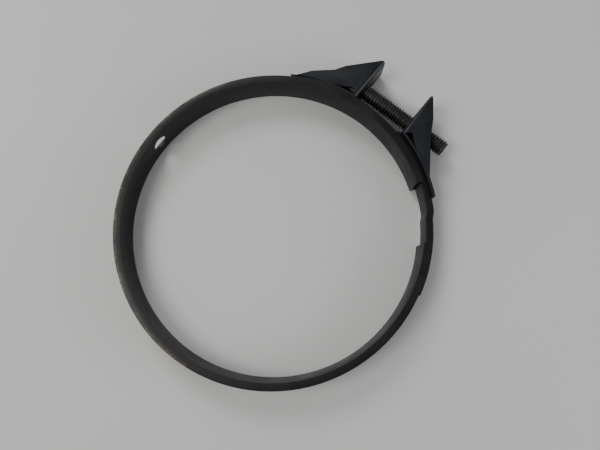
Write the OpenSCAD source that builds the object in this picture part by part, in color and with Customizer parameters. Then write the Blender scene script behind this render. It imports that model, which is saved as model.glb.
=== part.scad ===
// Single-bolt band clamp for a pipe: a sprung band with a bridged gap,
// closed by one cap screw between two folded sheet lugs.
// Origin: band axis at half width. +Z runs along the pipe.

/* [Band] */
// Radius of the pipe that the band closes on
bore_r = 69; // [55:0.5:95]
// Thickness of the band sheet
band_t = 1.2; // [0.8:0.1:1.6]
// Width of the band along the pipe
band_w = 15.4; // [12.8:0.1:24]
// Height of the turned-out rims, from the inner face
rim_h = 3.4; // [2.6:0.1:5]
// Radius of the corner between wall and rim, on the pipe's side
rim_corner_r = 0.4; // [0.2:0.1:1.2]
// Radius of the same bend inside the channel
rim_bend_r = 0.3; // [0.2:0.1:1.2]
// Angle of the arm end that slides under the bridge
head_arm_end_deg = 16; // [12:1:22]
// Angle of the arm end that carries the bridge
tail_arm_end_deg = -7; // [-12:1:-4]
// Angle where the band bends when the clamp is tightened
flex_deg = 207; // [200:1:212]
// Gap between the two arms at the bending point
flex_gap = 0.9; // [0.6:0.1:1.5]

/* [Locating hole] */
// Diameter of the hole in the band
locating_d = 7.8; // [5:0.1:8.6]
// Angle of the hole around the band
locating_deg = 143; // [120:1:165]

/* [Bridge strip] */
// Clearance between the bridge and the band rims, on each side
bridge_side_clear = 0.9; // [0.6:0.1:1.2]
// Thickness of the bridge sheet
bridge_t = 1.2; // [0.8:0.1:1.6]
// Height of the bridge rims, from its inner face
bridge_rim_h = 3.4; // [2.6:0.1:5]
// Free height between the band and the bridge where they slide
nest_clear = 0.9; // [0.7:0.1:1.4]
// Length of the bridge that is welded on the band, past the arm end
bridge_seat_len = 23; // [16:1:30]
// Length of the step up, measured into the gap from the arm end
joggle_len = 13; // [6:1:16]
// How far the bridge reaches past the nut ear
bridge_lead = 1.5; // [0.5:0.5:4]

/* [Lugs] */
// Thickness of the lug sheet
lug_t = 1.2; // [0.8:0.1:1.6]
// Angle around the band at which the bolt lies square
bolt_deg = 51; // [46:1:56]
// Height of the bolt axis over the band rims
bolt_rise = 8.1; // [7.2:0.1:12]
// Height of both ears over the bolt axis
ear_over_bolt = 14.8; // [9:0.2:18]
// Distance of the head ear's back face from the square line
head_ear_x = 9; // [6:0.5:12]
// Distance of the nut ear's back face from the square line
nut_ear_x = 20.4; // [18:0.2:23]
// Corner radius at the top of the ears
ear_corner_r = 1.6; // [0.5:0.1:3]
// Length of the head lug's foot along the band
head_foot_len = 32; // [31.5:0.5:38]
// Length of the head lug's wings along the foot
head_wing_len = 30.5; // [26:0.5:31]
// Length of the nut lug's foot along the bridge
nut_foot_len = 33; // [28:1:36]
// Length of the nut lug's wings along the foot
nut_wing_len = 25; // [20:1:27]
// Lift of the wings' inner edges off the foot, at the ear
wing_lift = 2.6; // [1:0.1:4]

/* [Cap screw] */
// Major diameter of the thread
bolt_d = 7.94; // [5:0.01:9.6]
// Pitch of the thread
thread_pitch = 1.411; // [0.8:0.001:1.5]
// Length under the head
bolt_len = 50.8; // [45:0.1:60]
// Diameter of the head
head_d = 11.9; // [9:0.1:12.6]
// Height of the head
head_h = 7.9; // [5:0.1:9]
// Width across flats of the key socket
key_af = 6.35; // [4:0.05:7]
// Depth of the key socket
key_depth = 4; // [2:0.1:5]
// Radial clearance of the screw in the head ear
ear_hole_clear = 0.5; // [0.3:0.05:1]
// Travel of the screw along the nut ear's slot, each way
slot_travel = 2.3; // [2.2:0.1:3]

/* [Nut and washer] */
// Thickness of the bar nut along the screw
nut_h = 6.8; // [4:0.1:8]
// Height of the bar nut across the screw
nut_span = 10.6; // [10:0.1:11]
// Clearance between the nut and each wing
nut_side_clear = 0.15; // [0.1:0.05:0.4]
// Running clearance in the nut, on the radius
nut_run_clear = 0.06; // [0.02:0.01:0.1]
// Gap between the nut and its ear
nut_seat_gap = 0.5; // [0.4:0.05:0.8]
// Thickness of the washer
washer_t = 1.6; // [1:0.1:2]
// Clearance between the washer's edge and the lug
washer_side_clear = 0.3; // [0.2:0.05:0.6]
// Gap between the head and the washer
head_seat_gap = 0.1; // [0.05:0.05:0.3]

/* [Welds] */
// Diameter of the spot welds in the bridge
spot_d = 4; // [3:0.1:5]
// Radius of the beads that hold the lug feet
bead_r = 0.9; // [0.6:0.1:1.1]
// Length of each bead
bead_len = 5; // [3:0.5:7]

/* [Hidden] */
$fn = 96;
round_fn = 240;
cut = 1;
thread_depth = thread_pitch * 0.61;
lug_w = band_w;
bridge_w = band_w - 2 * band_t - 2 * bridge_side_clear;
rim_r = bore_r + rim_h;
seat_r = bore_r + band_t;
bridge_in_r = seat_r + nest_clear;
bridge_rim_r = bridge_in_r + bridge_rim_h;
bolt_n = rim_r + bolt_rise;
ear_top = bolt_n + ear_over_bolt;
inner_half_w = lug_w / 2 - lug_t;
// How far each foot runs in under its ear
foot_lead = 0.25 * lug_t;
nut_w = 2 * (inner_half_w - nut_side_clear);
// Room for the washer, between the wings and over the foot
washer_room_r = min(inner_half_w, bolt_rise - lug_t);
washer_d = 2 * (washer_room_r - washer_side_clear);
head_face_x = -head_ear_x - washer_t - head_seat_gap;
joggle_deg = tail_arm_end_deg + arc_deg(joggle_len, seat_r);
bridge_end_deg = tail_arm_end_deg - arc_deg(bridge_seat_len, seat_r);
bridge_start_deg = bolt_deg - asin(nut_ear_x / bridge_rim_r) + arc_deg(bridge_lead + lug_t, bridge_rim_r);
head_ear_deg = bolt_deg + asin(head_ear_x / rim_r);
nut_ear_deg = bolt_deg - asin(nut_ear_x / bridge_rim_r);
// Free edges of the head wings: distance behind the ear, height over the screw axis
head_wing_shoulders = [[12.5, 1.2], [15.4, -3.6], [23.5, -10.6]];
// Free edges of the nut wings, measured the same way
nut_wing_shoulders = [[6.8, 5.6], [11, -2.2]];

// Angle covered by a length along an arc
function arc_deg(len, r) = len / r * 180 / PI;
// Point at a radius and an angle from the square line, in the lug's own axes
function lug_point(r, deg) = [r * sin(deg), r * cos(deg)];

// Lug axes: X runs along the screw towards its tip, Y outward from the band
module in_lug_axes() {
    rotate([0, 0, bolt_deg - 90])
        children();
}

// Rectangle with its two inner corners rounded, each by the back half of a circle
module round_back(x0, w, h, r) {
    translate([x0 + r, -w / 2])
        square([h - r, w]);
    translate([x0, -w / 2 + r])
        square([h, w - 2 * r]);
    for (side = [-1, 1])
        translate([x0 + r, side * (w / 2 - r)])
            intersection() {
                circle(r = r);
                translate([-r, -r])
                    square([r, 2 * r]);
            }
}

// Sheet channel with both edges turned outward
module channel_profile(r_in, w, t, h) {
    difference() {
        round_back(r_in, w, h, rim_corner_r);
        round_back(r_in + t, w - 2 * t, h, rim_bend_r);
    }
}

// A profile swept round the band axis between two angles
module swept(from_deg, to_deg) {
    rotate([0, 0, from_deg])
        rotate_extrude(angle = to_deg - from_deg, $fn = round_fn)
            children();
}

module locating_cut() {
    rotate([0, 0, locating_deg])
        translate([bore_r - cut, 0, 0])
            rotate([0, 90, 0])
                cylinder(d = locating_d, h = band_t + 2 * cut);
}

module band_head_arm() {
    color("#26282b")
        difference() {
            swept(head_arm_end_deg, flex_deg - arc_deg(flex_gap / 2, bore_r))
                channel_profile(bore_r, band_w, band_t, rim_h);
            locating_cut();
        }
}

module band_tail_arm() {
    color("#26282b")
        swept(flex_deg + arc_deg(flex_gap / 2, bore_r), 360 + tail_arm_end_deg)
            channel_profile(bore_r, band_w, band_t, rim_h);
}

// Seated on the band at its tail, then stepped up to clear the sliding arm
module bridge_strip() {
    color("#2b2d2f")
        union() {
            swept(bridge_end_deg, joggle_deg)
                channel_profile(seat_r, bridge_w, bridge_t, bridge_rim_h);
            swept(joggle_deg, bridge_start_deg)
                channel_profile(bridge_in_r, bridge_w, bridge_t, bridge_rim_h);
        }
}

// Ear plate square to the screw, standing on a foot of radius foot_r
module ear_plate(back_x, front_x, foot_r) {
    x_low = min(back_x, front_x);
    difference() {
        translate([x_low, 0, 0])
            rotate([90, 0, 90])
                linear_extrude(abs(front_x - back_x))
                    ear_outline();
        cylinder(r = foot_r + lug_t / 2, h = 2 * lug_w, center = true, $fn = round_fn);
    }
}

module ear_outline() {
    translate([0, -lug_w / 2])
        square([ear_top - ear_corner_r, lug_w]);
    translate([0, -lug_w / 2 + ear_corner_r])
        square([ear_top, lug_w - 2 * ear_corner_r]);
    for (side = [-1, 1])
        translate([ear_top - ear_corner_r, side * (lug_w / 2 - ear_corner_r)])
            circle(r = ear_corner_r);
}

// Outline of one wing: along the free edge to the tail, then back above the foot
function wing_outline(dir, ear_x, shoulders, tail_deg, ear_deg, foot_top_r) = concat(
    [[dir * (ear_x - lug_t), ear_top - ear_corner_r]],
    [[dir * ear_x, ear_top - ear_corner_r]],
    [for (p = shoulders) [dir * (ear_x + p[0]), bolt_n + p[1]]],
    [lug_point(foot_top_r - lug_t / 2, dir * tail_deg)],
    [for (k = [0 : 6])
        lug_point(foot_top_r - lug_t / 2 + (wing_lift + lug_t / 2) * pow(k / 6, 3),
            dir * (tail_deg + (ear_deg - tail_deg) * (0.2 + 0.8 * k / 6)))],
    [[dir * (ear_x - lug_t), foot_top_r * cos(ear_deg) + wing_lift]]
);

module wing_pair(dir, ear_x, shoulders, tail_deg, ear_deg, foot_top_r) {
    for (side = [-1, 1])
        translate([0, 0, side * (lug_w - lug_t) / 2])
            linear_extrude(lug_t, center = true)
                polygon(wing_outline(dir, ear_x, shoulders, tail_deg, ear_deg, foot_top_r));
}

// Foot curved over the rims, from the ear to its tail
module lug_foot(foot_r, from_deg, to_deg) {
    swept(from_deg, to_deg)
        translate([foot_r, -lug_w / 2])
            square([lug_t, lug_w]);
}

module head_lug() {
    foot_deg = arc_deg(head_foot_len, rim_r);
    wing_deg = arc_deg(head_wing_len, rim_r);
    color("#33353b")
        union() {
            lug_foot(rim_r, head_ear_deg - arc_deg(foot_lead, rim_r), head_ear_deg + foot_deg);
            in_lug_axes() {
                difference() {
                    ear_plate(-head_ear_x, -head_ear_x + lug_t, rim_r);
                    translate([-head_ear_x, bolt_n, 0])
                        rotate([0, 90, 0])
                            cylinder(d = bolt_d + 2 * ear_hole_clear, h = 4 * lug_t, center = true);
                }
                wing_pair(-1, head_ear_x, head_wing_shoulders, head_ear_deg - bolt_deg + wing_deg,
                    head_ear_deg - bolt_deg, rim_r + lug_t);
            }
        }
}

module slot_cut(x, travel, d) {
    for (side = [-1, 1])
        translate([x, bolt_n + side * travel, 0])
            rotate([0, 90, 0])
                cylinder(d = d, h = 4 * lug_t, center = true);
    translate([x, bolt_n, 0])
        cube([4 * lug_t, 2 * travel, d], center = true);
}

module nut_lug() {
    foot_deg = arc_deg(nut_foot_len, bridge_rim_r);
    wing_deg = arc_deg(nut_wing_len, bridge_rim_r);
    color("#33353b")
        union() {
            lug_foot(bridge_rim_r, nut_ear_deg - foot_deg, nut_ear_deg + arc_deg(foot_lead, bridge_rim_r));
            in_lug_axes() {
                difference() {
                    ear_plate(nut_ear_x, nut_ear_x - lug_t, bridge_rim_r);
                    slot_cut(nut_ear_x, slot_travel, bolt_d + 2 * ear_hole_clear);
                }
                wing_pair(1, nut_ear_x, nut_wing_shoulders, bolt_deg - nut_ear_deg + wing_deg,
                    bolt_deg - nut_ear_deg, bridge_rim_r + lug_t);
            }
        }
}

// Half outline of the threaded shank, in radius and length, with a ridge each pitch
function thread_ridges(length) = [for (k = [0 : floor(length / thread_pitch) - 1])
    each [
        [bolt_d / 2 - thread_depth, k * thread_pitch],
        [bolt_d / 2, (k + 0.44) * thread_pitch],
        [bolt_d / 2, (k + 0.56) * thread_pitch]
    ]];

module cap_screw() {
    thread_end = floor(bolt_len / thread_pitch) * thread_pitch;
    root_r = bolt_d / 2 - thread_depth;
    color("#1f2023")
        in_lug_axes()
            translate([head_face_x, bolt_n, 0])
                rotate([0, 90, 0]) {
                    rotate_extrude()
                        polygon(concat([[0, -cut / 2]], [[root_r, -cut / 2]], thread_ridges(bolt_len),
                            [[root_r, thread_end], [root_r, bolt_len], [0, bolt_len]]));
                    difference() {
                        translate([0, 0, -head_h])
                            cylinder(d = head_d, h = head_h);
                        translate([0, 0, -head_h - cut])
                            cylinder(d = key_af / cos(30), h = key_depth + cut, $fn = 6);
                    }
                }
}

// Bar nut, kept from turning by the wings on both sides
module captive_nut() {
    color("#3a3b3d")
        in_lug_axes()
            translate([nut_ear_x + nut_seat_gap, bolt_n, 0])
                difference() {
                    translate([0, -nut_span / 2, -nut_w / 2])
                        cube([nut_h, nut_span, nut_w]);
                    translate([-cut, 0, 0])
                        rotate([0, 90, 0])
                            cylinder(d = bolt_d + 2 * nut_run_clear, h = nut_h + 2 * cut);
                }
}

module head_washer() {
    color("#46484a")
        in_lug_axes()
            translate([-head_ear_x - washer_t, bolt_n, 0])
                rotate([0, 90, 0])
                    difference() {
                        cylinder(d = washer_d, h = washer_t);
                        translate([0, 0, -cut])
                            cylinder(d = bolt_d + ear_hole_clear, h = washer_t + 2 * cut);
                    }
}

module bridge_spot_welds() {
    color("#1b1c1e")
        for (place = [0.2, 0.5, 0.8])
            rotate([0, 0, tail_arm_end_deg - arc_deg(bridge_seat_len * place, seat_r)])
                translate([bore_r + band_t / 3, 0, 0])
                    rotate([0, 90, 0])
                        cylinder(d = spot_d, h = (band_t + bridge_t) * 2 / 3);
}

// Beads in the corners between the rims and the foot
module foot_beads(foot_r, wall_in_z, start_deg, foot_deg) {
    for (side = [-1, 1])
        for (place = [0.15, 0.5, 0.85])
            swept(start_deg + foot_deg * place - arc_deg(bead_len / 2, foot_r),
                start_deg + foot_deg * place + arc_deg(bead_len / 2, foot_r))
                translate([foot_r - bead_r / 3, side * (wall_in_z - bead_r / 3)])
                    circle(r = bead_r, $fn = 24);
}

module head_lug_welds() {
    color("#1b1c1e")
        foot_beads(rim_r, band_w / 2 - band_t, head_ear_deg, arc_deg(head_foot_len, rim_r));
}

module nut_lug_welds() {
    color("#1b1c1e")
        foot_beads(bridge_rim_r, bridge_w / 2 - bridge_t, nut_ear_deg, -arc_deg(nut_foot_len, bridge_rim_r));
}

band_head_arm();
band_tail_arm();
bridge_strip();
head_lug();
nut_lug();
cap_screw();
captive_nut();
head_washer();
bridge_spot_welds();
head_lug_welds();
nut_lug_welds();
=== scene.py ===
"""Black band clamp for a pipe: sprung band, bridge strip, two folded lugs and one clamping screw.

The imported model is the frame. Each class below holds the sizes of one sub-assembly, builds its pieces in
metres in the frame's own axes, and dresses them. The lugs and the screw share the "lug axes": X runs
along the screw towards its tip, Y outward from the band, and Z along the pipe.
"""

import logging
import math
from dataclasses import dataclass, field
from enum import Enum
from typing import Callable, Iterable, Optional, Sequence

import bmesh
import bpy
from mathutils import Matrix, Vector

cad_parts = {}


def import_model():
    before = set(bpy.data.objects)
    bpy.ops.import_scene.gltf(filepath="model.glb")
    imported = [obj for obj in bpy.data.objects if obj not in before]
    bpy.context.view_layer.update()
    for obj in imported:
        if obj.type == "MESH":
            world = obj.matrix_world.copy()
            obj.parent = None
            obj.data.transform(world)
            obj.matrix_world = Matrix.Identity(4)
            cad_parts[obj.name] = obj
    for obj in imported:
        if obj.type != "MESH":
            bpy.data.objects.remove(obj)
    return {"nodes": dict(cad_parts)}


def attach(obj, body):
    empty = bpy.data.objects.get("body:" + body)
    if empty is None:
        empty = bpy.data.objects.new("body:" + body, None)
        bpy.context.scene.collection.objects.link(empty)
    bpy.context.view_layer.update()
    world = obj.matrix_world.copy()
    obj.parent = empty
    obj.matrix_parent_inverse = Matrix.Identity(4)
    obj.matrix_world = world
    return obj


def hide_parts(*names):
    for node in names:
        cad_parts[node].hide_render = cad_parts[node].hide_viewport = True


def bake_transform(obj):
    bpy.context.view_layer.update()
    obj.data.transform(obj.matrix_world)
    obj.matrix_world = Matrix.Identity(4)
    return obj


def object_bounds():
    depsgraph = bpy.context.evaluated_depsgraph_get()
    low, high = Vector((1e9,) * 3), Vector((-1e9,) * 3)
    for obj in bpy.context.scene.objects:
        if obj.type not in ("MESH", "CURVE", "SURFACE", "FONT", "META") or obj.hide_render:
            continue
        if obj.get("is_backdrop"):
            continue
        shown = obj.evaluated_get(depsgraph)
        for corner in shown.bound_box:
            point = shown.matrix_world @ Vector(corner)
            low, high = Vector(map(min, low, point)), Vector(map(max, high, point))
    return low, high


LOG = logging.getLogger("band_clamp")
MM = 0.001
NEAR = 0.1 * MM
HAIR = 0.01 * MM


class Body(Enum):
    """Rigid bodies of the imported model."""

    HEAD_SIDE = "head_side"
    TAIL_SIDE = "tail_side"
    NUT = "nut"
    SCREW = "screw"


class Slot(Enum):
    """Material slots that the pieces are given."""

    BAND = "band_paint"
    LUG = "lug_paint"
    SCREW = "screw_black"
    NUT = "nut_steel"


class Cut(Enum):
    """Ways to combine one solid with another."""

    REMOVE = "DIFFERENCE"
    ADD = "UNION"
    KEEP_COMMON = "INTERSECT"


# ---------------------------------------------------------------- mesh helpers


def deselect_all() -> None:
    """Leaves edit mode and deselects every object."""
    if bpy.context.object and bpy.context.object.mode != "OBJECT":
        bpy.ops.object.mode_set(mode="OBJECT")
    bpy.ops.object.select_all(action="DESELECT")


def only(obj: bpy.types.Object) -> bpy.types.Object:
    """Makes obj the one selected and active object.

    Args:
        obj: The object to work on.

    Returns:
        The same object.
    """
    deselect_all()
    obj.select_set(True)
    bpy.context.view_layer.objects.active = obj
    return obj


def named(name: str) -> bpy.types.Object:
    """Names the object that an operator has just added.

    Args:
        name: The piece's name.

    Returns:
        The object.
    """
    obj = bpy.context.object
    obj.name = name
    obj.data.name = name
    return obj


def settle(obj: bpy.types.Object) -> None:
    """Puts an object's place, turn and scale into its mesh."""
    only(obj)
    bpy.ops.object.transform_apply(location=True, rotation=True, scale=True)


def edit(obj: bpy.types.Object) -> None:
    """Enters edit mode on obj with everything selected."""
    only(obj)
    bpy.ops.object.mode_set(mode="EDIT")
    bpy.ops.mesh.select_all(action="SELECT")


def leave_edit() -> None:
    """Goes back to object mode."""
    bpy.ops.object.mode_set(mode="OBJECT")


def select_where(obj: bpy.types.Object, kind: str, test: Callable[[Vector], bool]) -> int:
    """Selects the vertices, edges or faces whose middle passes a test, in edit mode.

    Args:
        obj: The object in edit mode.
        kind: "verts", "edges" or "faces".
        test: Says whether a middle point is wanted.

    Returns:
        How many were selected.
    """
    modes = {"verts": "VERT", "edges": "EDGE", "faces": "FACE"}
    bpy.ops.mesh.select_mode(type=modes[kind])
    bpy.ops.mesh.select_all(action="DESELECT")
    shape = bmesh.from_edit_mesh(obj.data)
    count = 0
    for item in getattr(shape, kind):
        corners = [item] if kind == "verts" else list(item.verts)
        middle = sum((v.co for v in corners), Vector()) / len(corners)
        if test(middle):
            item.select_set(True)
            count += 1
    bmesh.update_edit_mesh(obj.data)
    return count


def apply_modifier(obj: bpy.types.Object, kind: str, **settings: object) -> None:
    """Adds one modifier and applies it.

    Args:
        obj: The object that takes the modifier.
        kind: The modifier's type.
        **settings: Its settings by name.
    """
    only(obj)
    modifier = obj.modifiers.new(kind.lower(), kind)
    for key, value in settings.items():
        setattr(modifier, key, value)
    bpy.ops.object.modifier_apply(modifier=modifier.name)


def combine(obj: bpy.types.Object, tool: bpy.types.Object, how: Cut) -> None:
    """Cuts, joins or trims obj with a tool solid, then removes the tool.

    Args:
        obj: The solid to change.
        tool: The solid to change it with.
        how: Which of the three to do.
    """
    apply_modifier(obj, "BOOLEAN", object=tool, operation=how.value, solver="EXACT")
    bpy.data.objects.remove(tool)


def outward(obj: bpy.types.Object) -> None:
    """Merges doubles and points every face outward."""
    edit(obj)
    bpy.ops.mesh.remove_doubles(threshold=1e-6)
    bpy.ops.mesh.normals_make_consistent(inside=False)
    leave_edit()


def smooth(obj: bpy.types.Object, angle_deg: float = 35.0) -> None:
    """Shades obj smooth, apart from edges sharper than the angle."""
    only(obj)
    bpy.ops.object.shade_smooth_by_angle(angle=math.radians(angle_deg))


def round_edges(obj: bpy.types.Object, width: float, segments: int = 2, limit_deg: float = 40.0) -> None:
    """Rounds the sharp edges of a solid with an applied bevel.

    Args:
        obj: The solid.
        width: Width of the bevel in metres.
        segments: Faces across the bevel.
        limit_deg: Edges sharper than this are rounded.
    """
    apply_modifier(
        obj, "BEVEL", width=width, segments=segments, limit_method="ANGLE",
        angle_limit=math.radians(limit_deg), harden_normals=False, use_clamp_overlap=True,
    )


def spin_about_axis(obj: bpy.types.Object, sweep_deg: float, step_deg: float = 1.0) -> None:
    """Spins an open profile about the band's axis into a sheet.

    Args:
        obj: The profile.
        sweep_deg: Angle of the sweep about +Z, anticlockwise where it is positive.
        step_deg: Angle between rings.
    """
    edit(obj)
    steps = max(4, round(abs(sweep_deg) / step_deg))
    # The operator turns clockwise about its axis for a positive angle.
    bpy.ops.mesh.spin(steps=steps, angle=-math.radians(sweep_deg), center=(0.0, 0.0, 0.0),
                      axis=(0.0, 0.0, 1.0))
    leave_edit()
    outward(obj)


def outline_prism(name: str, points: Sequence[tuple[float, float]], depth: float) -> bpy.types.Object:
    """Makes a prism across the lug from an outline in the lug axes.

    Args:
        name: The piece's name.
        points: Corners of the outline, X and Y.
        depth: Size of the prism along Z, half to each side.

    Returns:
        The prism.
    """
    bpy.ops.mesh.primitive_circle_add(vertices=len(points), radius=1.0, fill_type="NGON")
    obj = named(name)
    for vertex, (x, y) in zip(obj.data.vertices, points):
        vertex.co = (x, y, -depth / 2)
    edit(obj)
    bpy.ops.mesh.extrude_region_move(TRANSFORM_OT_translate={"value": (0.0, 0.0, depth)})
    leave_edit()
    outward(obj)
    return obj


def cylinder_along_x(name: str, radius: float, x_from: float, x_to: float, y: float,
                     vertices: int = 64) -> bpy.types.Object:
    """Adds a cylinder along the lug axes' X.

    Args:
        name: The piece's name.
        radius: Its radius.
        x_from: Where it starts.
        x_to: Where it ends.
        y: Height of its axis.
        vertices: Sides round it.

    Returns:
        The cylinder.
    """
    bpy.ops.mesh.primitive_cylinder_add(vertices=vertices, radius=radius, depth=x_to - x_from)
    obj = named(name)
    obj.rotation_euler = (0.0, math.pi / 2, 0.0)
    obj.location = ((x_from + x_to) / 2, y, 0.0)
    settle(obj)
    return obj


# ------------------------------------------------------------------- the frame


@dataclass(frozen=True)
class Layout:
    """Driving sizes of the clamp in metres and degrees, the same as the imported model's."""

    bore_r: float = 69.0 * MM
    sheet: float = 1.2 * MM
    band_w: float = 15.4 * MM
    rim_h: float = 3.4 * MM
    nest_clear: float = 0.9 * MM
    bridge_side_clear: float = 0.9 * MM
    bolt_deg: float = 51.0
    bolt_rise: float = 8.1 * MM
    ear_over_bolt: float = 14.8 * MM
    head_ear_x: float = 9.0 * MM
    nut_ear_x: float = 20.4 * MM
    flex_deg: float = 207.0

    @property
    def rim_r(self) -> float:
        """Outer radius of the band's rims."""
        return self.bore_r + self.rim_h

    @property
    def seat_r(self) -> float:
        """Radius of the band wall's outer face."""
        return self.bore_r + self.sheet

    @property
    def bridge_in_r(self) -> float:
        """Inner radius of the bridge where it clears the sliding arm."""
        return self.seat_r + self.nest_clear

    @property
    def bridge_rim_r(self) -> float:
        """Outer radius of the bridge's rims there."""
        return self.bridge_in_r + self.rim_h

    @property
    def bolt_n(self) -> float:
        """Distance of the screw's axis from the band's axis."""
        return self.rim_r + self.bolt_rise

    @property
    def ear_top(self) -> float:
        """Distance of the ears' tips from the band's axis."""
        return self.bolt_n + self.ear_over_bolt

    @property
    def bridge_w(self) -> float:
        """Width of the bridge strip."""
        return self.band_w - 2 * self.sheet - 2 * self.bridge_side_clear

    @property
    def lug_turn(self) -> Matrix:
        """Turns the lug axes into the frame's."""
        return Matrix.Rotation(math.radians(self.bolt_deg - 90.0), 4, "Z")

    def arc_deg(self, length: float, radius: float) -> float:
        """Angle in degrees that a length along an arc covers."""
        return math.degrees(length / radius)

    def into_frame(self, obj: bpy.types.Object) -> None:
        """Moves a piece from the lug axes to the frame's."""
        obj.matrix_world = self.lug_turn @ obj.matrix_world
        settle(obj)


LAYOUT = Layout()


# ------------------------------------------------------------------- finishes


@dataclass(frozen=True)
class Shader:
    """A new node material with the few nodes that every finish shares."""

    name: str

    def start(self) -> tuple[bpy.types.Material, bpy.types.NodeTree, bpy.types.Node, bpy.types.Node]:
        """Makes the material.

        Returns:
            The material, its node tree, its Principled shader and its Texture Coordinate node.
        """
        material = bpy.data.materials.new(self.name)
        material.use_nodes = True
        tree = material.node_tree
        shader = tree.nodes["Principled BSDF"]
        place = tree.nodes.new("ShaderNodeTexCoord")
        return material, tree, shader, place


def noise(tree: bpy.types.NodeTree, place: bpy.types.Node, scale: float, detail: float = 4.0,
          stretch: Optional[Sequence[float]] = None) -> bpy.types.NodeSocket:
    """Adds a noise pattern on Object coordinates.

    Args:
        tree: The material's node tree.
        place: Its Texture Coordinate node.
        scale: Pattern scale, in waves per metre.
        detail: Octaves of detail.
        stretch: Scale along each axis, if the pattern is stretched.

    Returns:
        The pattern's grey output.
    """
    node = tree.nodes.new("ShaderNodeTexNoise")
    node.inputs["Scale"].default_value = scale
    node.inputs["Detail"].default_value = detail
    source = place.outputs["Object"]
    if stretch:
        mapping = tree.nodes.new("ShaderNodeMapping")
        mapping.inputs["Scale"].default_value = stretch
        tree.links.new(source, mapping.inputs["Vector"])
        source = mapping.outputs["Vector"]
    tree.links.new(source, node.inputs["Vector"])
    return node.outputs["Fac"]


def ramp(tree: bpy.types.NodeTree, source: bpy.types.NodeSocket,
         stops: Sequence[tuple[float, Sequence[float]]]) -> bpy.types.NodeSocket:
    """Adds a colour ramp.

    Args:
        tree: The material's node tree.
        source: The grey value that drives it.
        stops: Position and colour of each stop.

    Returns:
        The ramp's colour output.
    """
    node = tree.nodes.new("ShaderNodeValToRGB")
    band = node.color_ramp
    while len(band.elements) < len(stops):
        band.elements.new(0.5)
    for element, (position, colour) in zip(band.elements, stops):
        element.position = position
        element.color = (*colour, 1.0)
    tree.links.new(source, node.inputs["Fac"])
    return node.outputs["Color"]


def spread(tree: bpy.types.NodeTree, source: bpy.types.NodeSocket, low: float, high: float,
           from_low: float = 0.3, from_high: float = 0.7) -> bpy.types.NodeSocket:
    """Maps a value from one range to another, held at the ends.

    Args:
        tree: The material's node tree.
        source: The value to map.
        low: Result at from_low.
        high: Result at from_high.
        from_low: Start of the source's range.
        from_high: End of the source's range.

    Returns:
        The mapped value.
    """
    node = tree.nodes.new("ShaderNodeMapRange")
    node.inputs["From Min"].default_value = from_low
    node.inputs["From Max"].default_value = from_high
    node.inputs["To Min"].default_value = low
    node.inputs["To Max"].default_value = high
    tree.links.new(source, node.inputs["Value"])
    return node.outputs["Result"]


def maths(tree: bpy.types.NodeTree, operation: str, first: bpy.types.NodeSocket,
          second: object = None) -> bpy.types.NodeSocket:
    """Adds one Math node.

    Args:
        tree: The material's node tree.
        operation: The node's operation.
        first: First value.
        second: Second value, a socket or a number.

    Returns:
        The node's result.
    """
    node = tree.nodes.new("ShaderNodeMath")
    node.operation = operation
    tree.links.new(first, node.inputs[0])
    if isinstance(second, bpy.types.NodeSocket):
        tree.links.new(second, node.inputs[1])
    elif second is not None:
        node.inputs[1].default_value = second
    return node.outputs[0]


def blend_colours(tree: bpy.types.NodeTree, amount: bpy.types.NodeSocket, under: object,
                  over: object) -> bpy.types.NodeSocket:
    """Mixes two colours.

    Args:
        tree: The material's node tree.
        amount: Share of the second colour.
        under: First colour, a socket or three numbers.
        over: Second colour, a socket or three numbers.

    Returns:
        The mixed colour.
    """
    node = tree.nodes.new("ShaderNodeMix")
    node.data_type = "RGBA"
    tree.links.new(amount, node.inputs["Factor"])
    for colour, socket in ((under, node.inputs[6]), (over, node.inputs[7])):
        if isinstance(colour, bpy.types.NodeSocket):
            tree.links.new(colour, socket)
        else:
            socket.default_value = (*colour, 1.0)
    return node.outputs[2]


def bump(tree: bpy.types.NodeTree, layers: Iterable[tuple[bpy.types.NodeSocket, float]],
         shader: bpy.types.Node) -> None:
    """Chains bump layers onto the shader.

    Args:
        tree: The material's node tree.
        layers: Height pattern and its depth in metres, coarsest first.
        shader: The Principled shader.
    """
    last = None
    for height, depth in layers:
        node = tree.nodes.new("ShaderNodeBump")
        node.inputs["Distance"].default_value = depth
        node.inputs["Strength"].default_value = 1.0
        tree.links.new(height, node.inputs["Height"])
        if last:
            tree.links.new(last, node.inputs["Normal"])
        last = node.outputs["Normal"]
    tree.links.new(last, shader.inputs["Normal"])


def radius_from_axis(tree: bpy.types.NodeTree, place: bpy.types.Node) -> bpy.types.NodeSocket:
    """Distance from the band's axis, in metres.

    Args:
        tree: The material's node tree.
        place: Its Texture Coordinate node.

    Returns:
        The distance.
    """
    flatten = tree.nodes.new("ShaderNodeVectorMath")
    flatten.operation = "MULTIPLY"
    flatten.inputs[1].default_value = (1.0, 1.0, 0.0)
    tree.links.new(place.outputs["Object"], flatten.inputs[0])
    length = tree.nodes.new("ShaderNodeVectorMath")
    length.operation = "LENGTH"
    tree.links.new(flatten.outputs["Vector"], length.inputs[0])
    return length.outputs["Value"]


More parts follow.
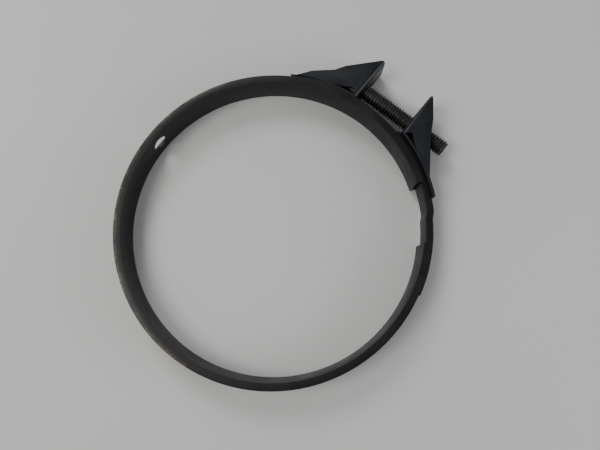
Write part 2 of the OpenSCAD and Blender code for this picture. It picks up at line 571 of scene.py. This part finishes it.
@dataclass(frozen=True)
class BlackPaint:
    """Satin black paint on sheet steel. Its thin edges on the −X side take a brown-grey colour that is partly
    wear and partly a painted highlight of the lamp's sheen on the rims.
    """

    name: str
    deep: tuple[float, float, float] = (0.0032, 0.0033, 0.0034)
    pale: tuple[float, float, float] = (0.0078, 0.0078, 0.0073)
    # Brown-grey edge colour: partly wear, partly a painted highlight of the rims' sheen.
    edge_wear_and_sheen: tuple[float, float, float] = (0.17, 0.125, 0.08)
    rough_low: float = 0.36
    rough_high: float = 0.52
    gloss: float = 0.30
    coat: float = 0.0
    edge_from_r: float = 0.0
    edge_to_r: float = 1.0
    # Span along X over which the painted highlight on the rims fades out: full on the −X side, none past it.
    lit_side_from_x: float = -50.0 * MM
    lit_side_to_x: float = -15.0 * MM
    dust_tint: tuple[float, float, float] = (0.16, 0.15, 0.14)
    dust_rough: float = 0.5
    coat_rough: float = 0.22
    dent_depth: float = 0.05 * MM
    peel_depth: float = 0.012 * MM
    grain_depth: float = 0.004 * MM

    def make(self) -> bpy.types.Material:
        """Builds the material.

        Returns:
            The material.
        """
        material, tree, shader, place = Shader(self.name).start()
        clouds = noise(tree, place, 90.0, 6.0)
        grain = noise(tree, place, 2600.0, 3.0)
        peel = noise(tree, place, 900.0, 2.0)
        dents = noise(tree, place, 60.0, 2.0)
        body = ramp(tree, clouds, ((0.3, self.deep), (0.72, self.pale)))
        radius = radius_from_axis(tree, place)
        edge = spread(tree, radius, 0.0, 1.0, self.edge_from_r, self.edge_to_r)
        patches = spread(tree, noise(tree, place, 55.0, 5.0), 0.0, 1.0, 0.42, 0.56)
        scuffs = spread(tree, noise(tree, place, 1500.0, 4.0), 0.15, 1.0, 0.42, 0.6)
        apart = tree.nodes.new("ShaderNodeSeparateXYZ")
        tree.links.new(place.outputs["Object"], apart.inputs["Vector"])
        # Painted highlight: the edge colour is held to the −X side, where the lamp's sheen falls on the rims.
        # The rest of the mark is wear.
        lit_side_share = spread(tree, apart.outputs["X"], 1.0, 0.0, self.lit_side_from_x, self.lit_side_to_x)
        wear_and_highlight = maths(tree, "MULTIPLY", maths(tree, "MULTIPLY", edge, patches), scuffs)
        wear_and_highlight = maths(tree, "MULTIPLY", wear_and_highlight, lit_side_share)
        dust = spread(tree, noise(tree, place, 3400.0, 2.0), 0.0, 0.35, 0.70, 0.78)
        dusted = blend_colours(tree, dust, body, self.dust_tint)
        tree.links.new(blend_colours(tree, wear_and_highlight, dusted, self.edge_wear_and_sheen), shader.inputs["Base Color"])
        rough = spread(tree, clouds, self.rough_low, self.rough_high)
        dusted_rough = maths(tree, "ADD", rough, maths(tree, "MULTIPLY", dust, self.dust_rough))
        tree.links.new(dusted_rough, shader.inputs["Roughness"])
        shader.inputs["Specular IOR Level"].default_value = self.gloss
        shader.inputs["Coat Weight"].default_value = self.coat
        shader.inputs["Coat Roughness"].default_value = self.coat_rough
        bump(tree, ((dents, self.dent_depth), (peel, self.peel_depth), (grain, self.grain_depth)), shader)
        return material


@dataclass(frozen=True)
class DarkSteel:
    """Blackened steel, oiled, with pale patches of painted highlight in random noise that stand in for the
    glints on its crests and corners.
    """

    name: str
    deep: tuple[float, float, float]
    glint_tint: tuple[float, float, float]
    metal: float
    rough_low: float
    rough_high: float
    pale_gain: float = 1.7
    cloud_depth: float = 0.012 * MM
    grain_depth: float = 0.005 * MM

    def make(self) -> bpy.types.Material:
        """Builds the material.

        Returns:
            The material.
        """
        material, tree, shader, place = Shader(self.name).start()
        clouds = noise(tree, place, 220.0, 5.0)
        grain = noise(tree, place, 5200.0, 4.0)
        # Painted highlight: pale patches that stand in for light glinting on the thread's crests and the
        # nut's corners.
        glint_patches = spread(tree, noise(tree, place, 1900.0, 3.0), 0.0, 1.0, 0.48, 0.72)
        pale = tuple(self.pale_gain * c for c in self.deep)
        body = ramp(tree, clouds, ((0.32, self.deep), (0.70, pale)))
        tree.links.new(blend_colours(tree, glint_patches, body, self.glint_tint), shader.inputs["Base Color"])
        tree.links.new(spread(tree, clouds, self.rough_low, self.rough_high), shader.inputs["Roughness"])
        shader.inputs["Metallic"].default_value = self.metal
        bump(tree, ((clouds, self.cloud_depth), (grain, self.grain_depth)), shader)
        return material


@dataclass(frozen=True)
class StudioFloor:
    """Pale matt board under the object."""

    name: str = "pale_board"
    tint: tuple[float, float, float] = (0.62, 0.615, 0.60)
    low_share: float = 0.96
    rough: float = 0.75
    gloss: float = 0.25

    def make(self) -> bpy.types.Material:
        """Builds the material.

        Returns:
            The material.
        """
        material, tree, shader, place = Shader(self.name).start()
        tone = noise(tree, place, 6.0, 2.0)
        low = tuple(self.low_share * c for c in self.tint)
        tree.links.new(ramp(tree, tone, ((0.3, low), (0.7, self.tint))), shader.inputs["Base Color"])
        shader.inputs["Roughness"].default_value = self.rough
        shader.inputs["Specular IOR Level"].default_value = self.gloss
        return material


@dataclass
class Finishes:
    """Every material of the object, made once."""

    band: bpy.types.Material = field(default_factory=lambda: BlackPaint(
        "band_paint", edge_from_r=LAYOUT.rim_r - 1.6 * MM, edge_to_r=LAYOUT.rim_r - 0.5 * MM).make())
    bridge: bpy.types.Material = field(default_factory=lambda: BlackPaint(
        "bridge_paint", edge_from_r=LAYOUT.bridge_rim_r - 0.8 * MM, edge_to_r=LAYOUT.bridge_rim_r).make())
    # Painted light: the lug paint is a paler, bluer copy of the band's black paint, matching how the lit
    # wings look.
    lug: bpy.types.Material = field(default_factory=lambda: BlackPaint(
        "lug_paint", deep=(0.0070, 0.0074, 0.0094), pale=(0.0125, 0.0130, 0.0165), edge_wear_and_sheen=(0.03, 0.03, 0.032),
        rough_low=0.32, rough_high=0.44, coat=0.03, edge_from_r=LAYOUT.rim_r,
        edge_to_r=LAYOUT.ear_top).make())
    screw: bpy.types.Material = field(default_factory=lambda: DarkSteel(
        "screw_black", (0.050, 0.048, 0.047), (0.17, 0.16, 0.15), 0.8, 0.34, 0.46).make())
    nut: bpy.types.Material = field(default_factory=lambda: DarkSteel(
        "nut_steel", (0.035, 0.035, 0.037), (0.16, 0.155, 0.15), 0.7, 0.36, 0.52).make())
    weld: bpy.types.Material = field(default_factory=lambda: BlackPaint(
        "weld_metal", rough_high=0.5, edge_from_r=1.0, edge_to_r=2.0).make())


def dress(obj: bpy.types.Object, material: bpy.types.Material) -> None:
    """Gives a piece one material.

    Args:
        obj: The piece.
        material: Its finish.
    """
    obj.data.materials.clear()
    obj.data.materials.append(material)


# --------------------------------------------------------------- sub-assemblies


@dataclass
class SheetChannel:
    """Strip of sheet with both edges turned outward, swept round the band's axis."""

    name: str
    inner_r: float
    width: float
    from_deg: float
    to_deg: float
    layout: Layout = LAYOUT
    step_deg: float = 1.0
    corner: float = 0.3 * MM

    def build(self) -> bpy.types.Object:
        """Spins the channel's middle line round the axis and thickens it.

        Returns:
            The channel, a closed solid.
        """
        half = self.layout.sheet / 2
        depth = self.layout.rim_h - half
        height = self.width - self.layout.sheet
        bpy.ops.mesh.primitive_plane_add(size=1.0)
        obj = named(self.name)
        obj.scale = (depth, height, 1.0)
        obj.rotation_euler = (math.pi / 2, 0.0, 0.0)
        obj.location = (self.inner_r + half + depth / 2, 0.0, 0.0)
        settle(obj)
        edit(obj)
        bpy.ops.mesh.delete(type="ONLY_FACE")
        outer = self.inner_r + half + depth
        select_where(obj, "edges", lambda m: m.x > outer - NEAR and abs(m.z) < NEAR)
        bpy.ops.mesh.delete(type="EDGE")
        leave_edit()
        obj.rotation_euler = (0.0, 0.0, math.radians(self.from_deg))
        settle(obj)
        spin_about_axis(obj, self.to_deg - self.from_deg, self.step_deg)
        apply_modifier(obj, "SOLIDIFY", thickness=self.layout.sheet, offset=0.0, use_even_offset=True)
        outward(obj)
        return obj


@dataclass
class Band:
    """The sprung band: one continuous strip with a round locating hole."""

    layout: Layout = LAYOUT
    head_end_deg: float = 16.0
    tail_end_deg: float = 353.0
    hole_deg: float = 143.0
    hole_d: float = 7.8 * MM
    punch_len: float = 8.0 * MM
    flex_half_deg: float = 10.5

    def build(self, finishes: Finishes) -> bpy.types.Object:
        """Builds the band and puts its place into its mesh; it is not bent across its flex joint.

        Args:
            finishes: The object's materials.

        Returns:
            The band.
        """
        strip = SheetChannel("sprung_band", self.layout.bore_r, self.layout.band_w,
                             self.head_end_deg, self.tail_end_deg, step_deg=0.8)
        obj = strip.build()
        combine(obj, self.hole_tool(), Cut.REMOVE)
        round_edges(obj, strip.corner, 3, 50.0)
        smooth(obj)
        dress(obj, finishes.band)
        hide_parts("band_head_arm", "band_tail_arm")
        self.bend(obj)
        return obj

    def hole_tool(self) -> bpy.types.Object:
        """Cylinder that punches the locating hole.

        Returns:
            The cutter.
        """
        angle = math.radians(self.hole_deg)
        bpy.ops.mesh.primitive_cylinder_add(vertices=40, radius=self.hole_d / 2,
                                            depth=self.punch_len)
        tool = named("hole_punch")
        tool.rotation_euler = (0.0, math.pi / 2, angle)
        tool.location = (self.layout.bore_r * math.cos(angle), self.layout.bore_r * math.sin(angle), 0.0)
        settle(tool)
        return tool

    def bend(self, obj: bpy.types.Object) -> None:
        """Puts the band's place into its mesh; the band is not bent.

        Args:
            obj: The finished band.
        """
        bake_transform(obj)


@dataclass
class Bridge:
    """Narrow strip behind the band's gap, welded at its tail and stepped up over the sliding arm."""

    layout: Layout = LAYOUT
    tail_end_deg: float = -7.0
    seat_len: float = 23.0 * MM
    joggle_len: float = 13.0 * MM
    lead: float = 1.5 * MM
    ramp_len: float = 4.0 * MM

    def build(self, finishes: Finishes) -> bpy.types.Object:
        """Builds the strip at its seated radius, then steps its front part outward.

        Args:
            finishes: The object's materials.

        Returns:
            The bridge strip.
        """
        lay = self.layout
        end_deg = self.tail_end_deg - lay.arc_deg(self.seat_len, lay.seat_r)
        joggle_deg = self.tail_end_deg + lay.arc_deg(self.joggle_len, lay.seat_r)
        start_deg = lay.bolt_deg - math.degrees(math.asin(lay.nut_ear_x / lay.bridge_rim_r))
        start_deg += lay.arc_deg(self.lead + lay.sheet, lay.bridge_rim_r)
        strip = SheetChannel("bridge_strip_formed", lay.seat_r, lay.bridge_w, end_deg, start_deg,
                             step_deg=0.8)
        obj = strip.build()
        ramp_deg = lay.arc_deg(self.ramp_len, lay.seat_r)
        for vertex in obj.data.vertices:
            angle = math.degrees(math.atan2(vertex.co.y, vertex.co.x))
            share = min(1.0, max(0.0, (angle - joggle_deg + ramp_deg / 2) / ramp_deg))
            lift = lay.nest_clear * share * share * (3 - 2 * share)
            radius = math.hypot(vertex.co.x, vertex.co.y)
            vertex.co.x *= (radius + lift) / radius
            vertex.co.y *= (radius + lift) / radius
        round_edges(obj, strip.corner, 3, 50.0)
        smooth(obj)
        dress(obj, finishes.bridge)
        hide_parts("bridge_strip")
        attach(obj, Body.TAIL_SIDE.value)
        return obj


@dataclass
class Lug:
    """Folded sheet lug: an ear square to the screw, two wings folded back from it, and a curved foot."""

    name: str
    node: str
    body: Body
    side: int
    ear_x: float
    foot_r: float
    foot_len: float
    wing_len: float
    shoulders: tuple[tuple[float, float], ...]
    slot_travel: float
    layout: Layout = LAYOUT
    fold_r: float = 1.1 * MM
    corner_r: float = 0.5 * MM
    wing_lift: float = 2.6 * MM
    hole_clear: float = 0.5 * MM
    bolt_d: float = 7.94 * MM
    edge: float = 0.14 * MM
    lift_steps: int = 9
    lift_from: float = 0.2
    lift_span: float = 0.72
    foot_lead_share: float = 0.25

    @property
    def ear_deg(self) -> float:
        """Angle of the ear's foot from the square line."""
        return math.degrees(math.asin(self.ear_x / self.foot_r))

    @property
    def foot_lead_deg(self) -> float:
        """Angle by which the foot runs on under the ear."""
        return self.layout.arc_deg(self.foot_lead_share * self.layout.sheet, self.foot_r)

    @property
    def foot_top_r(self) -> float:
        """Radius of the foot's outer face."""
        return self.foot_r + self.layout.sheet

    def build(self, finishes: Finishes) -> bpy.types.Object:
        """Builds the lug in the lug axes and turns it into place.

        Args:
            finishes: The object's materials.

        Returns:
            The lug.
        """
        obj = self.folded_sheet()
        combine(obj, self.wing_trim(), Cut.KEEP_COMMON)
        combine(obj, self.corner_trim(), Cut.KEEP_COMMON)
        combine(obj, self.screw_slot(), Cut.REMOVE)
        round_edges(obj, self.edge, 2, 50.0)
        combine(obj, self.foot(), Cut.ADD)
        outward(obj)
        smooth(obj, 30.0)
        self.layout.into_frame(obj)
        dress(obj, finishes.lug)
        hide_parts(self.node)
        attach(obj, self.body.value)
        return obj

    def folded_sheet(self) -> bpy.types.Object:
        """Ear and both wings as one sheet folded to a U, before its outline is cut.

        Returns:
            The thickened sheet.
        """
        lay = self.layout
        half = lay.sheet / 2
        reach = self.foot_top_r
        near = self.ear_x - half
        low, high = 0.0, lay.ear_top + 2 * MM
        bpy.ops.mesh.primitive_cube_add(size=1.0)
        obj = named(self.name)
        obj.scale = (reach, high - low, lay.band_w - lay.sheet)
        obj.location = (self.side * (near + reach / 2), (low + high) / 2, 0.0)
        settle(obj)
        edit(obj)
        far = near + reach
        select_where(obj, "faces", lambda m: abs(m.y - low) < NEAR or abs(m.y - high) < NEAR
                     or abs(abs(m.x) - far) < NEAR)
        bpy.ops.mesh.delete(type="FACE")
        select_where(obj, "edges", lambda m: abs(abs(m.x) - near) < NEAR and abs(m.z) > NEAR)
        bpy.ops.mesh.bevel(offset=self.fold_r + half, segments=6, affect="EDGES")
        leave_edit()
        apply_modifier(obj, "SOLIDIFY", thickness=lay.sheet, offset=0.0, use_even_offset=True)
        outward(obj)
        return obj

    def at(self, radius: float, deg: float) -> tuple[float, float]:
        """Point at a radius and an angle from the square line, in the lug axes."""
        angle = math.radians(deg)
        return (self.side * radius * math.sin(angle), radius * math.cos(angle))

    def wing_trim(self) -> bpy.types.Object:
        """Prism of the lug's side view: free edges outside, and the wings' lift off the foot inside.

        Returns:
            The prism.
        """
        lay = self.layout
        half = lay.sheet / 2
        tail_deg = self.ear_deg + lay.arc_deg(self.wing_len, self.foot_r)
        ear_front = self.ear_x - lay.sheet
        inner_top = self.foot_top_r * math.cos(math.radians(self.ear_deg)) - half
        points = [(self.side * (ear_front - half), inner_top), (self.side * (ear_front - half), lay.ear_top),
                  (self.side * self.ear_x, lay.ear_top)]
        points += [(self.side * (self.ear_x + behind), lay.bolt_n + over) for behind, over in self.shoulders]
        points.append(self.at(self.foot_top_r - half, tail_deg))
        for step in range(self.lift_steps + 1):
            share = step / self.lift_steps
            radius = self.foot_top_r - half + (self.wing_lift + half) * share ** 3
            along = self.lift_from + self.lift_span * share
            points.append(self.at(radius, tail_deg + (self.ear_deg - tail_deg) * along))
        points.append((self.side * self.ear_x, inner_top))
        return outline_prism("wing_trim", points, 2 * lay.band_w)

    def corner_trim(self) -> bpy.types.Object:
        """Block with rounded outer corners that trims the ear's top.

        Returns:
            The block.
        """
        lay = self.layout
        bpy.ops.mesh.primitive_cube_add(size=1.0)
        block = named("corner_trim")
        block.scale = (4 * lay.band_w, lay.ear_top, lay.band_w + 0.02 * MM)
        block.location = (self.side * 2 * lay.band_w, lay.ear_top / 2, 0.0)
        settle(block)
        edit(block)
        select_where(block, "edges", lambda m: m.y > lay.ear_top - NEAR and abs(m.z) > 0.4 * lay.band_w)
        bpy.ops.mesh.bevel(offset=self.corner_r, segments=6, affect="EDGES")
        leave_edit()
        return block

    def screw_slot(self) -> bpy.types.Object:
        """Round hole, or a slot if the screw travels across the ear.

        Returns:
            The cutter.
        """
        lay = self.layout
        middle = self.side * (self.ear_x - lay.sheet / 2)
        reach = 3 * lay.sheet
        radius = self.bolt_d / 2 + self.hole_clear
        tool = cylinder_along_x("screw_slot", radius, middle - reach, middle + reach, lay.bolt_n)
        for vertex in tool.data.vertices:
            over = vertex.co.y - lay.bolt_n
            if abs(over) > HAIR:
                vertex.co.y += math.copysign(self.slot_travel, over)
        return tool

    def foot(self) -> bpy.types.Object:
        """Foot curved over the rims, from under the ear to its tail.

        Returns:
            The foot.
        """
        lay = self.layout
        half = lay.sheet / 2
        blank = 1.0
        bpy.ops.mesh.primitive_plane_add(size=blank)
        obj = named("foot")
        start = 90.0 - self.side * (self.ear_deg - self.foot_lead_deg)
        sweep = -self.side * (lay.arc_deg(self.foot_len, self.foot_r) + self.foot_lead_deg)
        obj.scale = (1.0, lay.band_w, 1.0)
        obj.rotation_euler = (math.pi / 2, 0.0, 0.0)
        obj.location = (self.foot_r + half + blank / 2, 0.0, 0.0)
        settle(obj)
        edit(obj)
        bpy.ops.mesh.delete(type="ONLY_FACE")
        select_where(obj, "verts", lambda m: m.x > self.foot_r + blank / 2)
        bpy.ops.mesh.delete(type="VERT")
        leave_edit()
        obj.rotation_euler = (0.0, 0.0, math.radians(start))
        settle(obj)
        spin_about_axis(obj, sweep, 0.8)
        apply_modifier(obj, "SOLIDIFY", thickness=lay.sheet, offset=0.0, use_even_offset=True)
        outward(obj)
        round_edges(obj, self.edge, 2, 50.0)
        return obj


@dataclass
class CapScrew:
    """Socket head cap screw with a helical thread along its whole shank."""

    layout: Layout = LAYOUT
    bolt_d: float = 7.94 * MM
    pitch: float = 1.411 * MM
    length: float = 50.8 * MM
    head_d: float = 11.9 * MM
    head_h: float = 7.9 * MM
    key_af: float = 6.35 * MM
    key_depth: float = 4.0 * MM
    washer_t: float = 1.6 * MM
    head_gap: float = 0.1 * MM
    steps_per_turn: int = 30
    knurl_sides: int = 96
    knurl_depth: float = 0.18 * MM
    end_chamfer: float = 0.9 * MM
    head_edge: float = 0.7 * MM
    head_overlap: float = 0.05 * MM
    depth_share: float = 0.61
    flank_share: float = 0.40
    lead_turns: float = 1.5
    spare_turns: int = 4

    @property
    def face_x(self) -> float:
        """Place of the head's bearing face along the screw."""
        return -self.layout.head_ear_x - self.washer_t - self.head_gap

    @property
    def root_r(self) -> float:
        """Radius at the bottom of the thread."""
        return self.bolt_d / 2 - self.depth_share * self.pitch

    def build(self, finishes: Finishes) -> bpy.types.Object:
        """Builds the thread and the head as one piece.

        Args:
            finishes: The object's materials.

        Returns:
            The screw.
        """
        obj = self.thread()
        combine(obj, self.shank_envelope(), Cut.KEEP_COMMON)
        combine(obj, self.head(), Cut.ADD)
        outward(obj)
        smooth(obj, 32.0)
        self.layout.into_frame(obj)
        dress(obj, finishes.screw)
        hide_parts("cap_screw")
        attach(obj, Body.SCREW.value)
        return obj

    def thread(self) -> bpy.types.Object:
        """Helical thread, longer than the shank at both ends, cut square.

        Returns:
            The thread.
        """
        bpy.ops.mesh.primitive_plane_add(size=1.0)
        obj = named("cap_screw_formed")
        crest = self.bolt_d / 2
        flank = self.flank_share * self.pitch
        flat = self.pitch - 2 * flank
        obj.scale = (crest - self.root_r, flat / 2, 1.0)
        obj.rotation_euler = (math.pi / 2, 0.0, 0.0)
        obj.location = ((crest + self.root_r) / 2, 0.0, 0.0)
        settle(obj)
        edit(obj)
        bpy.ops.mesh.delete(type="ONLY_FACE")
        select_where(obj, "edges", lambda m: m.x < self.root_r + HAIR)
        bpy.ops.mesh.delete(type="EDGE")
        leave_edit()
        for vertex in obj.data.vertices:
            if vertex.co.x < self.root_r + HAIR:
                vertex.co.z = math.copysign(self.pitch / 2 - flat / 4, vertex.co.z)
        edit(obj)
        select_where(obj, "verts", lambda m: m.x < self.root_r + HAIR and m.z < 0)
        bpy.ops.mesh.extrude_region_move(TRANSFORM_OT_translate={"value": (0.0, 0.0, -flat / 2)})
        leave_edit()
        turns = math.ceil(self.length / self.pitch) + self.spare_turns
        lead = self.lead_turns * self.pitch
        apply_modifier(obj, "SCREW", axis="Z", angle=math.tau, screw_offset=self.pitch, iterations=turns,
                       steps=self.steps_per_turn, render_steps=self.steps_per_turn, use_merge_vertices=True,
                       merge_threshold=1e-6)
        outward(obj)
        self.cut_square(obj, lead, (0.0, 0.0, -1.0))
        self.cut_square(obj, lead + self.length, (0.0, 0.0, 1.0))
        obj.location = (0.0, 0.0, -lead)
        settle(obj)
        obj.rotation_euler = (0.0, math.pi / 2, 0.0)
        obj.location = (self.face_x, self.layout.bolt_n, 0.0)
        settle(obj)
        outward(obj)
        return obj

    def cut_square(self, obj: bpy.types.Object, height: float, away: tuple[float, float, float]) -> None:
        """Cuts the thread off square and closes the cut.

        Args:
            obj: The thread, still along Z.
            height: Where to cut.
            away: Direction of the part that goes.
        """
        edit(obj)
        bpy.ops.mesh.bisect(plane_co=(0.0, 0.0, height), plane_no=away, use_fill=True, clear_outer=True,
                            threshold=1e-6)
        leave_edit()

    def shank_envelope(self) -> bpy.types.Object:
        """Cylinder with a chamfered tip that the thread is trimmed to.

        Returns:
            The cylinder.
        """
        margin = 0.02 * MM
        tip = self.face_x + self.length
        obj = cylinder_along_x("shank_envelope", self.bolt_d / 2 - margin, self.face_x - margin, tip - margin,
                               self.layout.bolt_n, 60)
        edit(obj)
        select_where(obj, "edges", lambda m: m.x > tip - NEAR)
        bpy.ops.mesh.bevel(offset=self.end_chamfer, segments=1, affect="EDGES")
        leave_edit()
        return obj

    def head(self) -> bpy.types.Object:
        """Knurled head with a hexagon socket.

        Returns:
            The head.
        """
        lay = self.layout
        top = self.face_x - self.head_h
        obj = cylinder_along_x("head", self.head_d / 2, top, self.face_x + self.head_overlap, lay.bolt_n,
                               self.knurl_sides)
        edit(obj)
        select_where(obj, "edges", lambda m: m.x < top + HAIR)
        bpy.ops.mesh.bevel(offset=self.head_edge, segments=3, affect="EDGES")
        leave_edit()
        for vertex in obj.data.vertices:
            across = Vector((vertex.co.y - lay.bolt_n, vertex.co.z))
            turn = round(math.atan2(across.y, across.x) / math.tau * self.knurl_sides)
            if across.length > self.head_d / 2 - HAIR and turn % 2:
                across *= 1.0 - self.knurl_depth / across.length
                vertex.co.y = lay.bolt_n + across.x
                vertex.co.z = across.y
        socket = cylinder_along_x("socket", self.key_af / 2 / math.cos(math.pi / 6), top - 1 * MM,
                                  top + self.key_depth, lay.bolt_n, 6)
        combine(obj, socket, Cut.REMOVE)
        return obj


@dataclass
class NutAndWasher:
    """Bar nut kept between the nut lug's wings, and the washer under the screw's head."""

    layout: Layout = LAYOUT
    bolt_d: float = 7.94 * MM
    nut_h: float = 6.8 * MM
    nut_span: float = 10.6 * MM
    nut_side_clear: float = 0.15 * MM
    nut_run_clear: float = 0.06 * MM
    nut_gap: float = 0.5 * MM
    washer_t: float = 1.6 * MM
    washer_clear: float = 0.3 * MM
    washer_hole_clear: float = 0.25 * MM
    cutter_over: float = 1.0 * MM
    nut_edge: float = 0.5 * MM
    bore_edge: float = 0.25 * MM
    washer_edge: float = 0.2 * MM

    @property
    def inner_half_w(self) -> float:
        """Half the room between the wings."""
        return self.layout.band_w / 2 - self.layout.sheet

    def build_nut(self, finishes: Finishes) -> bpy.types.Object:
        """Builds the bar nut.

        Args:
            finishes: The object's materials.

        Returns:
            The nut.
        """
        lay = self.layout
        start = lay.nut_ear_x + self.nut_gap
        bpy.ops.mesh.primitive_cube_add(size=1.0)
        obj = named("captive_nut_bar")
        obj.scale = (self.nut_h, self.nut_span, 2 * (self.inner_half_w - self.nut_side_clear))
        obj.location = (start + self.nut_h / 2, lay.bolt_n, 0.0)
        settle(obj)
        round_edges(obj, self.nut_edge, 3, 40.0)
        over = self.cutter_over
        bore = cylinder_along_x("nut_bore", self.bolt_d / 2 + self.nut_run_clear, start - over,
                                start + self.nut_h + over, lay.bolt_n)
        combine(obj, bore, Cut.REMOVE)
        round_edges(obj, self.bore_edge, 2, 60.0)
        self.finish(obj, finishes.nut, "captive_nut", Body.NUT)
        return obj

    def build_washer(self, finishes: Finishes) -> bpy.types.Object:
        """Builds the washer.

        Args:
            finishes: The object's materials.

        Returns:
            The washer.
        """
        lay = self.layout
        near = -lay.head_ear_x - self.washer_t
        obj = cylinder_along_x("head_washer_flat", self.inner_half_w - self.washer_clear, near,
                               -lay.head_ear_x, lay.bolt_n, 72)
        over = self.cutter_over
        hole = cylinder_along_x("washer_hole", self.bolt_d / 2 + self.washer_hole_clear, near - over,
                                -lay.head_ear_x + over, lay.bolt_n)
        combine(obj, hole, Cut.REMOVE)
        round_edges(obj, self.washer_edge, 2, 60.0)
        self.finish(obj, finishes.nut, "head_washer", Body.HEAD_SIDE)
        return obj

    def finish(self, obj: bpy.types.Object, material: bpy.types.Material, node: str, body: Body) -> None:
        """Turns a piece into place, dresses it and hands it to the frame.

        Args:
            obj: The piece, in the lug axes.
            material: Its finish.
            node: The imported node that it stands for.
            body: The body that it moves with.
        """
        smooth(obj)
        self.layout.into_frame(obj)
        dress(obj, material)
        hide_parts(node)
        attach(obj, body.value)


def head_lug() -> Lug:
    """Lug that the screw's head pulls on, with a round hole."""
    shoulders = ((12.5 * MM, 1.2 * MM), (15.4 * MM, -3.6 * MM), (23.5 * MM, -10.6 * MM))
    return Lug(name="head_lug_folded", node="head_lug", body=Body.HEAD_SIDE, side=-1,
               ear_x=LAYOUT.head_ear_x, foot_r=LAYOUT.rim_r, foot_len=32.0 * MM, wing_len=30.5 * MM,
               shoulders=shoulders, slot_travel=0.0)


def nut_lug() -> Lug:
    """Lug that holds the nut, with a slot for the screw."""
    shoulders = ((6.8 * MM, 5.6 * MM), (11.0 * MM, -2.2 * MM))
    return Lug(name="nut_lug_folded", node="nut_lug", body=Body.TAIL_SIDE, side=1,
               ear_x=LAYOUT.nut_ear_x, foot_r=LAYOUT.bridge_rim_r, foot_len=33.0 * MM, wing_len=25.0 * MM,
               shoulders=shoulders, slot_travel=2.3 * MM)


def dress_welds(nodes: dict[str, bpy.types.Object], finishes: Finishes) -> None:
    """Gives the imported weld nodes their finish.

    Args:
        nodes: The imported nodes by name.
        finishes: The object's materials.
    """
    for name in ("bridge_spot_welds", "head_lug_welds", "nut_lug_welds"):
        for slot in nodes[name].material_slots:
            slot.material = finishes.weld


# ----------------------------------------------------------------- the studio


@dataclass
class Studio:
    """Pale floor, soft lights and the camera."""

    floor_z: float
    camera_at: tuple[float, float, float] = (16.0 * MM, -32.8 * MM, 208.8 * MM)
    look_at: tuple[float, float, float] = (12.7 * MM, 1.0 * MM, 0.0)
    lens_mm: float = 27.0
    floor_size: float = 3.0
    sky: tuple[float, float, float] = (0.86, 0.88, 0.90)
    sky_strength: float = 0.34

    def build(self) -> None:
        """Makes the floor, the lights, the sky and the camera."""
        self.floor()
        self.lamp("window", (-0.36, -0.06, 0.56), 0.30, 2.0, (1.0, 0.99, 0.97))
        self.lamp("high_fill", (-0.38, 0.75, 0.70), 0.40, 4.6, (0.96, 0.98, 1.0))
        self.lamp("low_fill", (0.50, -0.12, 0.16), 0.30, 1.1, (0.94, 0.97, 1.0))
        self.daylight()
        self.camera()

    def floor(self) -> None:
        """Lays the floor just under the object."""
        bpy.ops.mesh.primitive_plane_add(size=self.floor_size)
        board = named("floor")
        board.location = (0.0, 0.0, self.floor_z)
        settle(board)
        dress(board, StudioFloor().make())
        board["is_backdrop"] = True

    def lamp(self, name: str, place: tuple[float, float, float], size: float, power: float,
             tint: tuple[float, float, float]) -> None:
        """Adds a soft square lamp that faces the object.

        Args:
            name: The lamp's name.
            place: Where it stands.
            size: Side of the lamp.
            power: Its power in watts.
            tint: Its colour.
        """
        bpy.ops.object.light_add(type="AREA", location=place)
        lamp = bpy.context.object
        lamp.name = name
        lamp.data.size = size
        lamp.data.energy = power
        lamp.data.color = tint
        lamp.rotation_euler = (-Vector(place)).to_track_quat("-Z", "Y").to_euler()

    def daylight(self) -> None:
        """Gives the world an even pale sky."""
        world = bpy.data.worlds.new("studio_sky")
        world.use_nodes = True
        sky = world.node_tree.nodes["Background"]
        sky.inputs["Color"].default_value = (*self.sky, 1.0)
        sky.inputs["Strength"].default_value = self.sky_strength
        bpy.context.scene.world = world

    def camera(self) -> None:
        """Places the camera, upright in the frame's Y."""
        bpy.ops.object.camera_add(location=self.camera_at)
        camera = bpy.context.object
        camera.name = "camera"
        back = (Vector(self.camera_at) - Vector(self.look_at)).normalized()
        right = Vector((0.0, 1.0, 0.0)).cross(back).normalized()
        up = back.cross(right)
        turn = Matrix((right, up, back)).transposed()
        camera.matrix_world = Matrix.Translation(Vector(self.camera_at)) @ turn.to_4x4()
        camera.data.lens = self.lens_mm
        camera.data.sensor_width = 36.0
        camera.data.clip_start = 0.01
        bpy.context.scene.camera = camera


# ----------------------------------------------------------------------- main


def main() -> None:
    """Builds every piece around the frame, then the studio."""
    logging.basicConfig(level=logging.INFO, format="%(name)s: %(message)s")
    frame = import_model()
    cad_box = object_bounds()
    finishes = Finishes()
    small_parts = NutAndWasher()
    builders = (Band().build, Bridge().build, head_lug().build, nut_lug().build, CapScrew().build,
                small_parts.build_nut, small_parts.build_washer)
    for build in builders:
        piece = build(finishes)
        LOG.info("%s: %d faces", piece.name, len(piece.data.polygons))
    dress_welds(frame["nodes"], finishes)
    Studio(floor_z=cad_box[0][2]).build()


if __name__ == "__main__":
    main()
